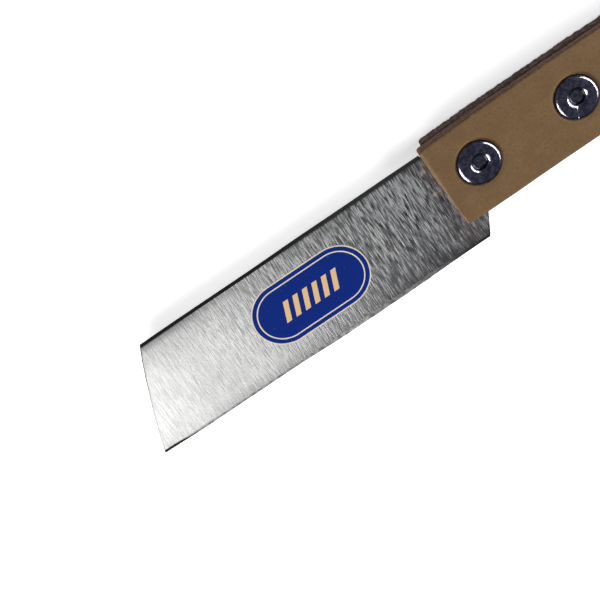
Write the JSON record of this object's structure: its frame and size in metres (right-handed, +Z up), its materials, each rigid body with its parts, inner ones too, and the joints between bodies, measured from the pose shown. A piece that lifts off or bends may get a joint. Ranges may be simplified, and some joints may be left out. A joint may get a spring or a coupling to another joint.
{
  "type": "hacking knife",
  "caption": "Glazier's hacking knife with a straight wedge-ground steel blade, a thick back for hammer blows and a riveted leather-scale handle.",
  "frame": {"origin": "under the middle of the knife's bounding box, on the surface that it lies on", "axes": "+X from the toe of the blade to the butt of the handle, +Y to the back of the blade, +Z up through the clinched side of the handle"},
  "size_m": [0.2086, 0.0368, 0.0115],
  "materials": {
    "ground_steel": "cross-ground, satin",
    "tan_leather": "smooth thick leather, matt, cut edges darkened",
    "nickel_plate": "polished nickel plate",
    "blue_print": "thin satin screen print on the blade's near face, not a solid of its own",
    "cream_print": "thin satin screen print over the blue, not a solid of its own"
  },
  "bodies": {
    "root": {"blade": "ground_steel", "near_scale": "tan_leather", "far_scale": "tan_leather", "front_rivet": "nickel_plate", "middle_rivet": "nickel_plate", "rear_rivet": "nickel_plate"}
  },
  "joints": []
}
